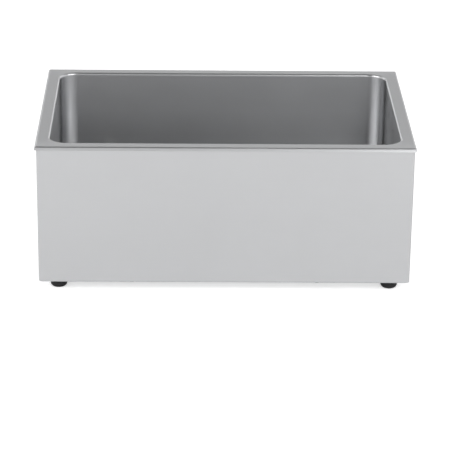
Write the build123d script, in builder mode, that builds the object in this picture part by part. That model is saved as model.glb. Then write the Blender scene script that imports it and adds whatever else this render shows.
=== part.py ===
from build123d import *
import math
import os

# An electric bain marie: a deep well with a turned-down rim, hung in a folded casing on four feet.
# The casing wraps the front and both ends; the controls and the drain are on the rear panel.
# Millimetres. X runs along the long side, the front faces -Y, and z = 0 is the bench.
os.makedirs("parts", exist_ok=True)

# Well and rim
rim_length = 552.0
rim_width = 358.0
rim_flat = 15.6
rim_bend = 3.4
skirt_height = 5.1
skirt_flare = 20.0
skirt_bend = 2.4
tank_sheet = 1.0
well_depth = 152.0
well_corner = 26.0
floor_bend = 15.0

# Casing, rear panel and base
space_below = 60.0
casing_step = 1.2
casing_sheet = 0.8
casing_bend = 2.2
fold_width = 14.0
panel_edge_gap = 0.5
base_inset = 2.0
foot_height = 14.5
foot_radius = 12.5
foot_tread = 8.2
foot_from_end = 28.5
foot_from_front = 23.0

# Clearances
screw_clearance = 0.2
running_clearance = 0.05
body_clearance = 0.3
seat_clearance = 0.1

# Screws and studs
m3 = 3.0
m4 = 4.0
m5 = 5.0
tapping_screw = 3.9
nut_flats = {m3: 5.5, m4: 7.0, m5: 8.0}
nut_height = {m3: 2.4, m4: 3.2, m5: 4.7}

# Heater and insulation
spreader_thickness = 3.0
spreader_margin = 10.0
element_diameter = 8.5
element_end_gap = 34.0
element_front_gap = 43.5
element_back_gap = 34.0
element_lead_x = 20.0
element_inner_x = 40.0
element_pin_diameter = 3.5
element_pin_length = 12.0
clamp_width = 18.0
clamp_thickness = 3.0
clamp_end = 9.0
clamp_stud_length = 22.3
slab_thickness = 14.0
slab_top_gap = 13.0
shield_height = 42.0
shield_foot = 15.0
controls_depth = 88.3

# Controls on the rear panel
thermostat_from_end = 98.0
thermostat_size = (44.0, 36.0, 30.0)
thermostat_screw_pitch = 28.0
shaft_diameter = 6.0
shaft_reach = 16.0
shaft_seat = 12.0
shaft_flat = 0.8
knob_radius = 21.0
knob_gap = 1.0
knob_skirt = 5.0
knob_grip_radius = 16.5
knob_height = 21.0
dial_radius = 28.0
dial_thickness = 0.5
bulb_diameter = 6.0
bulb_length = 90.0
capillary_diameter = 1.8
cutout_pitch = 50.0
cutout_radius = 12.0
cutout_depth = 28.0
cutout_neck = 10.0
button_diameter = 4.8
button_travel = 2.5
switch_pitch = 40.0
switch_bezel = (22.0, 30.0)
switch_depth = 26.0
rocker_size = (15.0, 20.4)
rocker_tilt = 10.0
lamp_pitch = 22.0
lamp_from_switch = 34.0
lamp_radius = 6.0
lamp_depth = 24.0
inlet_x = -57.0
inlet_flange = (50.0, 24.0)
inlet_body = (28.0, 21.0)
inlet_recess = (24.4, 16.4)
inlet_depth = 24.0
inlet_recess_depth = 17.0
inlet_screw_pitch = 40.0
inlet_pin_pitch = 7.0
inlet_pin_offset = 2.0
tab_size = (0.8, 6.3, 8.0)
wire_diameter = 2.2
wire_bend = 4.5

# Drain at the back left, closed by a ball valve behind the rear panel
drain_from_end = 82.0
drain_from_back = 29.5
drain_pipe_radius = 10.0
drain_bore = 8.0
drain_flange_radius = 19.0
drain_flange_thickness = 1.6
drain_rise = 29.0
gasket_thickness = 2.0
locknut_height = 6.0
valve_gap = 5.0
valve_socket = 9.0
valve_radius = 15.5
valve_length = 34.0
ball_radius = 11.0
ball_bore = 6.5
ball_from_end = 21.0
seat_length = 3.0
stem_radius = 4.0
neck_radius = 8.0
neck_height = 24.0
lever_length = 80.0
lever_width = 14.0
lever_thickness = 2.5
lever_rise = 8.0
tail_hex = 4.0
tail_length = 22.0
tail_radius = 8.0
tail_bore = 5.5
barb_pitch = 5.0
barb_gap = 1.5
barb_depth = 0.8

# Heights, from the bench up
casing_bottom = foot_height + casing_sheet
tank_bottom = casing_bottom + space_below
floor_top = tank_bottom + tank_sheet
rim_top = floor_top + well_depth
casing_top = rim_top - tank_sheet
control_z = casing_bottom + space_below / 2 - 0.8
drain_z = casing_bottom + drain_rise

# Plan sizes
well_length = rim_length - 2 * (rim_flat + rim_bend)
well_width = rim_width - 2 * (rim_flat + rim_bend)
casing_length = rim_length - 2 * casing_step
casing_width = rim_width - 2 * casing_step
inner_length = casing_length - 2 * casing_sheet
panel_back = casing_width / 2
panel_front = panel_back - casing_sheet
flare_out = skirt_height * math.tan(math.radians(skirt_flare))
drain_reach = valve_gap + valve_length + tail_hex + tail_length

# The origin is on the bench, below the centre of the whole outline, so the well stands forward of it
well_y = -(drain_reach - casing_step - flare_out) / 2
rear_face = well_y + panel_back

# Places under the well, measured from the well's centre
floor_half_length = well_length / 2 - floor_bend
floor_half_width = well_width / 2 - floor_bend
shield_y = panel_back - controls_depth
drain_y = floor_half_width - drain_from_back
row_front = -floor_half_width + element_front_gap
row_back = shield_y - element_back_gap
row_pitch = (row_back - row_front) / 3
row_end = floor_half_length - element_end_gap
lead_end = shield_y + 14.0
spreader_bottom = tank_bottom - spreader_thickness
element_z = spreader_bottom - seat_clearance - element_diameter / 2
clamp_top = element_z - element_diameter / 2 - seat_clearance
clamp_bottom = clamp_top - clamp_thickness
clamp_stud_bottom = tank_bottom - clamp_stud_length

# Places along the rear panel
drain_x = -casing_length / 2 + drain_from_end
thermostat_x = casing_length / 2 - thermostat_from_end
cutout_x = thermostat_x - cutout_pitch
switch_x = cutout_x - switch_pitch
heating_lamp_x = switch_x - lamp_from_switch
power_lamp_x = heating_lamp_x - lamp_pitch


def level(z):
    """The horizontal plane at height z, centred on the well."""
    return Plane((0, well_y, z))


def behind(x, z, out=0.0):
    """A plane facing backwards, out millimetres behind the rear panel's outer face."""
    return Plane(origin=(x, rear_face + out, z), x_dir=(-1, 0, 0), z_dir=(0, 1, 0))


def place(x, y, z):
    """A point given from the well's centre line."""
    return (x, well_y + y, z)


def tube(points, bend, diameter):
    """A round rod along straight runs joined by arcs."""
    with BuildPart() as run:
        with BuildLine() as route:
            FilletPolyline(*points, radius=bend)
        with BuildSketch(Plane(origin=route.line @ 0, z_dir=route.line % 0)):
            Circle(diameter / 2)
        sweep(path=route.line)
    return run.part


def pan_screw(diameter, length, head_radius, head_height):
    """A cross-recessed pan-head screw: the head stands on z = 0 and the shank hangs below it."""
    with BuildPart() as screw:
        with BuildSketch():
            Circle(head_radius)
        extrude(amount=head_height)
        fillet(screw.edges().group_by(Axis.Z)[-1], 0.4 * head_height)
        with BuildSketch():
            Circle(diameter / 2)
        extrude(amount=-length)
        chamfer(screw.edges().group_by(Axis.Z)[0], 0.2 * diameter)
        with BuildSketch(Plane.XY.offset(head_height)):
            Rectangle(head_radius, 0.22 * head_radius)
            Rectangle(0.22 * head_radius, head_radius)
        extrude(amount=-0.5 * head_height, mode=Mode.SUBTRACT)
    return screw.part


def hex_nut(flats, height, bore):
    """A hexagon nut standing on z = 0, its top corners turned off."""
    with BuildPart() as nut:
        with BuildSketch():
            RegularPolygon(flats / 2, 6, major_radius=False)
        extrude(amount=height)
        with BuildSketch():
            Circle(1.12 * flats / 2)
        extrude(amount=height, mode=Mode.INTERSECT)
        Hole(bore / 2)
    return nut.part


def ring(outer, inner, height):
    """A flat ring standing on z = 0."""
    with BuildPart() as disc:
        with BuildSketch():
            Circle(outer)
            Circle(inner, mode=Mode.SUBTRACT)
        extrude(amount=height)
    return disc.part


def fixed_nut(diameter):
    """The nut of a metric stud or screw."""
    return hex_nut(nut_flats[diameter], nut_height[diameter], diameter + 2 * running_clearance)


def tab_places():
    """Where each spade terminal leaves its part: x, the part's inner face and z."""
    places = {}
    thermostat_inner = panel_front - thermostat_size[2]
    switch_inner = panel_front - switch_depth
    lamp_inner = panel_front - lamp_depth
    inlet_inner = panel_front - inlet_depth
    for name, side in (("thermostat_in", -8.0), ("thermostat_out", 8.0)):
        places[name] = (thermostat_x + side, thermostat_inner, control_z - 6.0)
    for name, side in (("cutout_in", -6.0), ("cutout_out", 6.0)):
        places[name] = (cutout_x + side, panel_front - cutout_depth, control_z)
    for name, rise in (("switch_in", -6.0), ("switch_out", 6.0)):
        places[name] = (switch_x, switch_inner, control_z + rise)
    for lamp, x in (("power", power_lamp_x), ("heating", heating_lamp_x)):
        for name, rise in (("in", -4.0), ("out", 4.0)):
            places[f"{lamp}_{name}"] = (x, lamp_inner, control_z + rise)
    places["live"] = (inlet_x - inlet_pin_pitch, inlet_inner, control_z - inlet_pin_offset)
    places["neutral"] = (inlet_x + inlet_pin_pitch, inlet_inner, control_z - inlet_pin_offset)
    places["earth"] = (inlet_x, inlet_inner, control_z + inlet_pin_offset)
    return places


tabs = tab_places()

# The rim's fixings stand on the middle of the casing's top fold
fixing_x = casing_length / 2 - fold_width / 2
fixing_y = casing_width / 2 - fold_width / 2
rim_fixing_places = []
for share in (-0.31, 0.0, 0.31):
    for side in (-1, 1):
        rim_fixing_places.append((side * fixing_x, share * casing_width))
        rim_fixing_places.append((share * casing_length, side * fixing_y))

# The base screws stand on the same line of the bottom folds, clear of the feet
base_screw_places = []
for share in (-0.25, 0.25):
    for side in (-1, 1):
        base_screw_places.append((side * fixing_x, share * casing_width))
        base_screw_places.append((share * casing_length, side * fixing_y))

# The rear panel's screws go into the casing's rear folds
panel_screw_places = []
for share in (0.14, 0.5, 0.86):
    for side in (-1, 1):
        panel_screw_places.append((side * fixing_x, casing_bottom + share * (casing_top - casing_bottom)))

foot_x = casing_length / 2 - foot_from_end
foot_y = casing_width / 2 - foot_from_front
foot_places = {
    "foot_front_left": (-foot_x, -foot_y),
    "foot_front_right": (foot_x, -foot_y),
    "foot_rear_left": (-foot_x, foot_y),
    "foot_rear_right": (foot_x, foot_y),
}

# Space inside the well
with BuildPart() as well_space:
    with BuildSketch(level(floor_top)):
        RectangleRounded(well_length, well_width, well_corner)
    extrude(amount=well_depth)
    fillet(well_space.edges().group_by(Axis.Z)[0], floor_bend)

# Well: one sheet, from the flared skirt over the rim down the walls to the floor
skirt_inset = tank_sheet / math.cos(math.radians(skirt_flare)) - tank_sheet * math.tan(math.radians(skirt_flare))
with BuildPart() as well_tank:
    with BuildSketch(level(rim_top)):
        Rectangle(rim_length, rim_width)
    extrude(amount=-skirt_height, taper=-skirt_flare)
    fillet(well_tank.edges().group_by(Axis.Z)[-1], skirt_bend)
    with BuildSketch(level(casing_top)):
        Rectangle(rim_length - 2 * skirt_inset, rim_width - 2 * skirt_inset)
    extrude(amount=tank_sheet - skirt_height, taper=-skirt_flare, mode=Mode.SUBTRACT)
    with BuildSketch(level(casing_top)):
        RectangleRounded(well_length + 2 * tank_sheet, well_width + 2 * tank_sheet, well_corner + tank_sheet)
    extrude(amount=-well_depth)
    fillet(well_tank.edges().group_by(Axis.Z)[0], floor_bend + tank_sheet)
    under_rim = well_tank.faces().filter_by(Axis.Z).filter_by(lambda face: abs(face.center().Z - casing_top) < 0.01)
    fillet(under_rim.sort_by(SortBy.AREA)[-1].inner_wires().edges(), rim_bend - tank_sheet)
    add(well_space.part, mode=Mode.SUBTRACT)
    rim_face = well_tank.faces().filter_by(Axis.Z).sort_by(Axis.Z)[-1]
    fillet(rim_face.inner_wires().edges(), rim_bend)
    with Locations(place(drain_x, drain_y, floor_top)):
        Hole(drain_pipe_radius + body_clearance, depth=2 * tank_sheet)
well_tank.part.label = "well_tank"
export_step(well_tank.part, "parts/well_tank.step")

# Casing: front and ends in one wrap, with folds at the top, the bottom and the rear
with BuildPart() as outer_casing:
    with BuildSketch(level(casing_bottom)):
        with Locations((0, -casing_sheet / 2)):
            RectangleRounded(casing_length, casing_width - casing_sheet, casing_bend)
    extrude(amount=casing_top - casing_bottom)
    fillet(outer_casing.edges().group_by(Axis.Z)[0], casing_bend - 0.6)
    with BuildSketch(level(casing_bottom + casing_sheet)):
        with Locations((0, -casing_sheet / 2)):
            RectangleRounded(inner_length, casing_width - 3 * casing_sheet, casing_bend - casing_sheet)
    extrude(amount=casing_top - casing_bottom - 2 * casing_sheet, mode=Mode.SUBTRACT)
    with BuildSketch(level(casing_bottom)):
        with Locations((0, fold_width)):
            Rectangle(casing_length - 2 * fold_width, casing_width)
    extrude(amount=casing_top - casing_bottom, mode=Mode.SUBTRACT)
    with Locations(*[place(x, y, casing_top) for x, y in rim_fixing_places]):
        Hole(m4 / 2 + screw_clearance, depth=2 * casing_sheet)
    with Locations(*[place(x, y, casing_bottom + casing_sheet) for x, y in base_screw_places]):
        Hole(tapping_screw / 2 + running_clearance, depth=2 * casing_sheet)
    with Locations(*[behind(x, z) for x, z in panel_screw_places]):
        Hole(tapping_screw / 2 + running_clearance, depth=3 * casing_sheet)
outer_casing.part.label = "outer_casing"
export_step(outer_casing.part, "parts/outer_casing.step")

# Rear panel: a flat sheet over the casing's rear folds, with its own top and bottom folds between them
panel_length = casing_length - 2 * panel_edge_gap
panel_fold_length = casing_length - 2 * (fold_width + panel_edge_gap)
cutout_centres = {
    "thermostat": (thermostat_x, control_z),
    "inlet": (inlet_x, control_z),
    "switch": (switch_x, control_z),
}
with BuildPart() as rear_panel:
    with BuildSketch(behind(0, (casing_bottom + casing_top) / 2)):
        Rectangle(panel_length, casing_top - casing_bottom)
    extrude(amount=-casing_sheet)
    for fold_bottom in (casing_bottom, casing_top - casing_sheet):
        with BuildSketch(level(fold_bottom)):
            with Locations((0, panel_front - fold_width / 2 + casing_sheet / 2)):
                Rectangle(panel_fold_length, fold_width - casing_sheet)
        extrude(amount=casing_sheet)
    with Locations(*[behind(x, z) for x, z in panel_screw_places]):
        Hole(tapping_screw / 2 + running_clearance, depth=2 * casing_sheet)
    with Locations(*[place(x, y, casing_top) for x, y in rim_fixing_places if y > 0]):
        Hole(m4 / 2 + screw_clearance, depth=2 * casing_sheet)
    with Locations(*[place(x, y, casing_bottom + casing_sheet) for x, y in base_screw_places if y > 0]):
        Hole(tapping_screw / 2 + running_clearance, depth=2 * casing_sheet)
    with Locations(behind(thermostat_x, control_z)):
        Hole(shaft_diameter / 2 + 1.5, depth=2 * casing_sheet)
    with Locations(*[behind(thermostat_x + side * thermostat_screw_pitch / 2, control_z) for side in (-1, 1)]):
        Hole(m4 / 2 + screw_clearance, depth=2 * casing_sheet)
    with Locations(behind(cutout_x, control_z)):
        Hole(cutout_neck / 2 + screw_clearance, depth=2 * casing_sheet)
    with Locations(behind(power_lamp_x, control_z), behind(heating_lamp_x, control_z)):
        Hole(lamp_radius + screw_clearance, depth=2 * casing_sheet)
    with Locations(behind(drain_x, drain_z)):
        Hole(drain_pipe_radius + 3.0, depth=2 * casing_sheet)
    with Locations(*[behind(inlet_x + side * inlet_screw_pitch / 2, control_z) for side in (-1, 1)]):
        Hole(m3 / 2 + screw_clearance, depth=2 * casing_sheet)
    with BuildSketch(behind(inlet_x, control_z)):
        Rectangle(inlet_body[0] + 2 * screw_clearance, inlet_body[1] + 2 * screw_clearance)
    extrude(amount=-casing_sheet, mode=Mode.SUBTRACT)
    with BuildSketch(behind(switch_x, control_z)):
        Rectangle(switch_bezel[0] - 2.6, switch_bezel[1] - 2.6)
    extrude(amount=-casing_sheet, mode=Mode.SUBTRACT)
    with BuildSketch(behind(0, tank_bottom + 7.0)):
        with GridLocations(34.0, 6.0, 12, 2):
            SlotOverall(26.0, 3.0)
    extrude(amount=-casing_sheet, mode=Mode.SUBTRACT)
rear_panel.part.label = "rear_panel"
export_step(rear_panel.part, "parts/rear_panel.step")

# Base plate, screwed up against the bottom folds, with vents under the controls
with BuildPart() as base_plate:
    with BuildSketch(level(foot_height)):
        RectangleRounded(casing_length - 2 * base_inset, casing_width - 2 * base_inset, 4.0)
        with Locations((power_lamp_x + 60.0, panel_front - 38.0)):
            with GridLocations(32.0, 8.0, 8, 5):
                SlotOverall(24.0, 3.6, mode=Mode.SUBTRACT)
    extrude(amount=casing_sheet)
    with Locations(*[place(x, y, casing_bottom) for x, y in base_screw_places]):
        Hole(tapping_screw / 2 + running_clearance, depth=2 * casing_sheet)
    with Locations(*[place(x, y, casing_bottom) for x, y in foot_places.values()]):
        Hole(m4 / 2 + screw_clearance, depth=2 * casing_sheet)
base_plate.part.label = "base_plate"
export_step(base_plate.part, "parts/base_plate.step")

# Rim fixings: studs welded under the rim, each with a nut below the casing's fold
with BuildPart() as rim_fixings:
    rim_nut = fixed_nut(m4)
    for x, y in rim_fixing_places:
        with BuildSketch(level(casing_top)):
            with Locations((x, y)):
                Circle(m4 / 2)
        extrude(amount=-7.0)
        with Locations(place(x, y, casing_top - casing_sheet - nut_height[m4])):
            add(rim_nut)
rim_fixings.part.label = "rim_fixings"
export_step(rim_fixings.part, "parts/rim_fixings.step")

with BuildPart() as rear_panel_screws:
    with Locations(*[behind(x, z) for x, z in panel_screw_places]):
        add(pan_screw(tapping_screw, 9.0, 3.8, 2.4))
rear_panel_screws.part.label = "rear_panel_screws"
export_step(rear_panel_screws.part, "parts/rear_panel_screws.step")

with BuildPart() as base_screws:
    with Locations(*[Plane(place(x, y, foot_height), z_dir=(0, 0, -1)) for x, y in base_screw_places]):
        add(pan_screw(tapping_screw, 8.0, 3.8, 1.5))
base_screws.part.label = "base_screws"
export_step(base_screws.part, "parts/base_screws.step")

# Feet: domed rubber, each with a recess for its washer and screw head
foot_washer = 1.0
foot_web = 6.0
foot_recess = foot_height - foot_web - foot_washer
feet = {}
for name, (x, y) in foot_places.items():
    with BuildPart() as foot:
        with BuildSketch(Plane(place(x, y, 0), x_dir=(1, 0, 0), z_dir=(0, -1, 0))):
            with BuildLine():
                Line((0, 0), (foot_tread, 0))
                ThreePointArc((foot_tread, 0), (0.915 * foot_radius, 0.15 * foot_height), (foot_radius, 0.44 * foot_height))
                Line((foot_radius, 0.44 * foot_height), (foot_radius, foot_height))
                Line((foot_radius, foot_height), (0, foot_height))
                Line((0, foot_height), (0, 0))
            make_face()
        revolve(axis=Axis(place(x, y, 0), (0, 0, 1)))
        with Locations(Plane(place(x, y, 0), z_dir=(0, 0, -1))):
            CounterBoreHole(m4 / 2 + screw_clearance, 4.9, foot_recess + foot_washer)
    foot.part.label = name
    export_step(foot.part, f"parts/{name}.step")
    feet[name] = foot

with BuildPart() as foot_washers:
    with Locations(*[place(x, y, foot_recess) for x, y in foot_places.values()]):
        add(ring(4.8, m4 / 2 + running_clearance, foot_washer))
foot_washers.part.label = "foot_washers"
export_step(foot_washers.part, "parts/foot_washers.step")

# Foot fixings: screw from below, nut on the base plate
with BuildPart() as foot_fixings:
    foot_head = 2.6
    for x, y in foot_places.values():
        with Locations(Plane(place(x, y, foot_recess), z_dir=(0, 0, -1))):
            add(pan_screw(m4, foot_height - foot_recess + casing_sheet + nut_height[m4] + 2.0, 4.0, foot_head))
        with Locations(place(x, y, casing_bottom)):
            add(fixed_nut(m4))
foot_fixings.part.label = "foot_fixings"
export_step(foot_fixings.part, "parts/foot_fixings.step")

# Insulation: slabs against the well's straight walls
slab_bottom = tank_bottom + floor_bend + tank_sheet
slab_height = casing_top - slab_top_gap - slab_bottom
wall_y = well_width / 2 + tank_sheet
wall_x = well_length / 2 + tank_sheet
with BuildPart() as wall_insulation:
    with BuildSketch(level(slab_bottom)):
        with GridLocations(1.0, 2 * wall_y + slab_thickness, 1, 2):
            Rectangle(2 * wall_x - 2 * tank_sheet, slab_thickness)
        with GridLocations(2 * wall_x + slab_thickness, 1.0, 2, 1):
            Rectangle(slab_thickness, 2 * wall_y - 2 * tank_sheet)
    extrude(amount=slab_height)
wall_insulation.part.label = "wall_insulation"
export_step(wall_insulation.part, "parts/wall_insulation.step")

# Base slab on the base plate, its front corners cut away round the foot nuts
base_slab_gap = 3.0
slab_half_length = casing_length / 2 - fold_width - base_slab_gap
slab_front = -casing_width / 2 + fold_width + base_slab_gap
slab_corner = 34.0
with BuildPart() as base_insulation:
    with BuildSketch(level(casing_bottom)):
        with Locations((0, (slab_front + shield_y) / 2)):
            Rectangle(2 * slab_half_length, shield_y - slab_front)
        with Locations((-slab_half_length, slab_front), (slab_half_length, slab_front)):
            Rectangle(2 * slab_corner, 2 * slab_corner, mode=Mode.SUBTRACT)
    extrude(amount=clamp_stud_bottom - 10.0 - casing_bottom)
base_insulation.part.label = "base_insulation"
export_step(base_insulation.part, "parts/base_insulation.step")

# Shield between the hot space and the controls, its foot welded to the base plate
with BuildPart() as controls_shield:
    with BuildSketch(level(casing_bottom)):
        with Locations((0, shield_y + casing_sheet / 2)):
            Rectangle(2 * slab_half_length - 20.0, casing_sheet)
    extrude(amount=shield_height)
    with BuildSketch(level(casing_bottom)):
        with Locations((0, shield_y + shield_foot / 2)):
            Rectangle(2 * slab_half_length - 20.0, shield_foot)
    extrude(amount=casing_sheet)
controls_shield.part.label = "controls_shield"
export_step(controls_shield.part, "parts/controls_shield.step")

# Heat spreader, flat against the underside of the well
with BuildPart() as heat_spreader:
    with BuildSketch(level(spreader_bottom)):
        with Locations((0, (row_front + row_back) / 2)):
            RectangleRounded(2 * (row_end + spreader_margin), row_back - row_front + 28.0, 8.0)
    extrude(amount=spreader_thickness)
heat_spreader.part.label = "heat_spreader"
export_step(heat_spreader.part, "parts/heat_spreader.step")

# Tubular element: four rows, folded back round both sides of its two leads
half_route = [
    (element_lead_x, lead_end),
    (element_lead_x, row_back),
    (row_end, row_back),
    (row_end, row_back - row_pitch),
    (element_inner_x, row_back - row_pitch),
    (element_inner_x, row_front + row_pitch),
    (row_end, row_front + row_pitch),
    (row_end, row_front),
]
element_route = [place(x, y, element_z) for x, y in half_route]
element_route += [place(-x, y, element_z) for x, y in reversed(half_route)]
turn = row_pitch / 2 - 1.0
element_bends = [15.0] + [turn] * 12 + [15.0]
with BuildPart() as heating_element:
    add(tube(element_route, element_bends, element_diameter))
heating_element.part.label = "heating_element"
export_step(heating_element.part, "parts/heating_element.step")

with BuildPart() as element_pins:
    with BuildSketch(Plane(place(0, lead_end, element_z), x_dir=(-1, 0, 0), z_dir=(0, 1, 0))):
        with Locations((-element_lead_x, 0), (element_lead_x, 0)):
            Circle(element_pin_diameter / 2)
    extrude(amount=element_pin_length)
element_pins.part.label = "element_pins"
export_step(element_pins.part, "parts/element_pins.step")

# Clamp bars across the rows, hung on studs welded to the well
clamp_x = [element_inner_x + 20.0, row_end - 65.0]
clamp_centres = [side * x for x in clamp_x for side in (-1, 1)]
clamp_front = row_front - 24.0
clamp_back = row_back + 24.0
stud_rows = (clamp_front, clamp_back)
with BuildPart() as clamp_bars:
    with BuildSketch(level(clamp_bottom)):
        for x in clamp_centres:
            with Locations((x, (clamp_front + clamp_back) / 2)):
                SlotOverall(clamp_back - clamp_front + 2 * clamp_end, clamp_width, rotation=90)
            with Locations((x, clamp_front), (x, clamp_back)):
                Circle(m5 / 2 + screw_clearance, mode=Mode.SUBTRACT)
    extrude(amount=clamp_thickness)
clamp_bars.part.label = "clamp_bars"
export_step(clamp_bars.part, "parts/clamp_bars.step")

with BuildPart() as clamp_fixings:
    clamp_nut = fixed_nut(m5)
    for x in clamp_centres:
        for y in stud_rows:
            with BuildSketch(level(tank_bottom)):
                with Locations((x, y)):
                    Circle(m5 / 2)
            extrude(amount=-clamp_stud_length)
            with Locations(place(x, y, clamp_bottom - nut_height[m5])):
                add(clamp_nut)
clamp_fixings.part.label = "clamp_fixings"
export_step(clamp_fixings.part, "parts/clamp_fixings.step")

# Thermostat body behind the panel, bored for its shaft and tapped for two screws
screw_seat = 8.0
with BuildPart() as thermostat_body:
    with BuildSketch(behind(thermostat_x, control_z, -casing_sheet)):
        RectangleRounded(thermostat_size[0], thermostat_size[1], 3.0)
    extrude(amount=-thermostat_size[2])
    with Locations(behind(thermostat_x, control_z, -casing_sheet)):
        Hole(shaft_diameter / 2 + running_clearance, depth=shaft_seat)
    with Locations(*[
        behind(thermostat_x + side * thermostat_screw_pitch / 2, control_z, -casing_sheet) for side in (-1, 1)
    ]):
        Hole(m4 / 2 + running_clearance, depth=screw_seat + 1.0)
thermostat_body.part.label = "thermostat_body"
export_step(thermostat_body.part, "parts/thermostat_body.step")

shaft_start = -casing_sheet - shaft_seat + body_clearance
knob_back = dial_thickness + knob_gap
with BuildPart() as thermostat_shaft:
    with BuildSketch(behind(thermostat_x, control_z, shaft_start)):
        Circle(shaft_diameter / 2)
    extrude(amount=shaft_reach - shaft_start)
    with BuildSketch(behind(thermostat_x, control_z, dial_thickness)):
        with Locations((0, -shaft_diameter + shaft_flat)):
            Rectangle(2 * shaft_diameter, shaft_diameter)
    extrude(amount=shaft_reach, mode=Mode.SUBTRACT)
thermostat_shaft.part.label = "thermostat_shaft"
export_step(thermostat_shaft.part, "parts/thermostat_shaft.step")

# Knob: a skirt and a fluted grip, hollow behind to clear the screw heads under it
knob_hub = 8.0
with BuildPart() as thermostat_knob:
    with BuildSketch(behind(thermostat_x, control_z, knob_back)):
        Circle(knob_radius)
    extrude(amount=knob_skirt)
    chamfer(thermostat_knob.edges().group_by(Axis.Y)[-1], 1.5)
    with BuildSketch(behind(thermostat_x, control_z, knob_back)):
        Circle(knob_grip_radius)
        with PolarLocations(knob_grip_radius + 1.2, 12):
            Circle(2.6, mode=Mode.SUBTRACT)
    extrude(amount=knob_height)
    fillet(thermostat_knob.faces().sort_by(Axis.Y)[-1].edges(), 0.8)
    with BuildSketch(behind(thermostat_x, control_z, knob_back)):
        Circle(knob_radius - 2.0)
        Circle(knob_hub, mode=Mode.SUBTRACT)
    extrude(amount=knob_skirt - 1.5, mode=Mode.SUBTRACT)
    with BuildSketch(behind(thermostat_x, control_z, knob_back)):
        Circle(shaft_diameter / 2 + 0.02)
        with Locations((0, -shaft_diameter + shaft_flat - 0.02)):
            Rectangle(2 * shaft_diameter, shaft_diameter, mode=Mode.SUBTRACT)
    extrude(amount=shaft_reach - knob_back + 0.5, mode=Mode.SUBTRACT)
    with BuildSketch(behind(thermostat_x, control_z, knob_back + knob_height)):
        with Locations((0, knob_grip_radius / 2)):
            RectangleRounded(2.4, knob_grip_radius - 5.0, 0.6)
    extrude(amount=-0.8, mode=Mode.SUBTRACT)
thermostat_knob.part.label = "thermostat_knob"
export_step(thermostat_knob.part, "parts/thermostat_knob.step")

with BuildPart() as knob_pointer:
    with BuildSketch(behind(thermostat_x, control_z, knob_back + knob_height - 0.8)):
        with Locations((0, knob_grip_radius / 2)):
            RectangleRounded(2.3, knob_grip_radius - 5.1, 0.55)
    extrude(amount=0.9)
knob_pointer.part.label = "knob_pointer"
export_step(knob_pointer.part, "parts/knob_pointer.step")

with BuildPart() as dial_plate:
    with BuildSketch(behind(thermostat_x, control_z)):
        Circle(dial_radius)
        Circle(shaft_diameter / 2 + 1.5, mode=Mode.SUBTRACT)
        with GridLocations(thermostat_screw_pitch, 1.0, 2, 1):
            Circle(m4 / 2 + screw_clearance, mode=Mode.SUBTRACT)
    extrude(amount=dial_thickness)
dial_plate.part.label = "dial_plate"
export_step(dial_plate.part, "parts/dial_plate.step")

with BuildPart() as thermostat_screws:
    with Locations(*[
        behind(thermostat_x + side * thermostat_screw_pitch / 2, control_z, dial_thickness) for side in (-1, 1)
    ]):
        add(pan_screw(m4, dial_thickness + casing_sheet + screw_seat, 3.6, 2.2))
thermostat_screws.part.label = "thermostat_screws"
export_step(thermostat_screws.part, "parts/thermostat_screws.step")

# Sensing bulb under the well, joined to the thermostat by its capillary
bulb_y = shield_y + 6.0
bulb_z = tank_bottom - bulb_diameter / 2 - 0.2
bulb_start = thermostat_x - 130.0
bulb_end = bulb_start + bulb_length
capillary_z = control_z + 12.0
capillary_route = [
    place(bulb_end, bulb_y, bulb_z),
    place(thermostat_x, bulb_y, bulb_z),
    place(thermostat_x, panel_front - thermostat_size[2] - 14.0, bulb_z),
    place(thermostat_x, panel_front - thermostat_size[2] - 14.0, capillary_z),
    place(thermostat_x, panel_front - thermostat_size[2], capillary_z),
]
with BuildPart() as sensing_bulb:
    with BuildSketch(Plane(place(bulb_start, bulb_y, bulb_z), z_dir=(1, 0, 0))):
        Circle(bulb_diameter / 2)
    extrude(amount=bulb_length)
    fillet(sensing_bulb.edges().filter_by(GeomType.CIRCLE), 1.0)
    add(tube(capillary_route, 6.0, capillary_diameter))
sensing_bulb.part.label = "sensing_bulb"
export_step(sensing_bulb.part, "parts/sensing_bulb.step")

# Clips: folded straps under the bulb, their ears welded to the well
clip_sheet = 0.8
clip_inner = bulb_diameter / 2 + 0.1
with BuildPart() as bulb_clips:
    for x in (bulb_start + 12.0, bulb_end - 24.0):
        with BuildSketch(Plane(place(x, bulb_y, bulb_z), x_dir=(0, 1, 0), z_dir=(1, 0, 0))):
            Circle(clip_inner + clip_sheet)
            with Locations((0, (clip_inner + clip_sheet) / 2)):
                Rectangle(2 * (clip_inner + clip_sheet), clip_inner + clip_sheet)
            with Locations((0, tank_bottom - bulb_z - clip_sheet / 2)):
                Rectangle(2 * (clip_inner + 6.0), clip_sheet)
            Circle(clip_inner, mode=Mode.SUBTRACT)
            with Locations((0, clip_inner)):
                Rectangle(2 * clip_inner, 2 * clip_inner, mode=Mode.SUBTRACT)
            with Locations((0, tank_bottom - bulb_z + 5.0)):
                Rectangle(40.0, 10.0, mode=Mode.SUBTRACT)
        extrude(amount=12.0)
bulb_clips.part.label = "bulb_clips"
export_step(bulb_clips.part, "parts/bulb_clips.step")

# Overheat cutout: a round body with a threaded neck through the panel, bored for its button
neck_out = 5.0
button_seat = 12.0
with BuildPart() as cutout_body:
    with BuildSketch(behind(cutout_x, control_z, -casing_sheet)):
        Circle(cutout_radius)
    extrude(amount=-cutout_depth)
    with BuildSketch(behind(cutout_x, control_z, -casing_sheet)):
        Circle(cutout_neck / 2)
    extrude(amount=casing_sheet + neck_out)
    with Locations(behind(cutout_x, control_z, neck_out)):
        Hole(button_diameter / 2 + 0.1, depth=button_seat + button_travel + body_clearance)
cutout_body.part.label = "cutout_body"
export_step(cutout_body.part, "parts/cutout_body.step")

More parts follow.
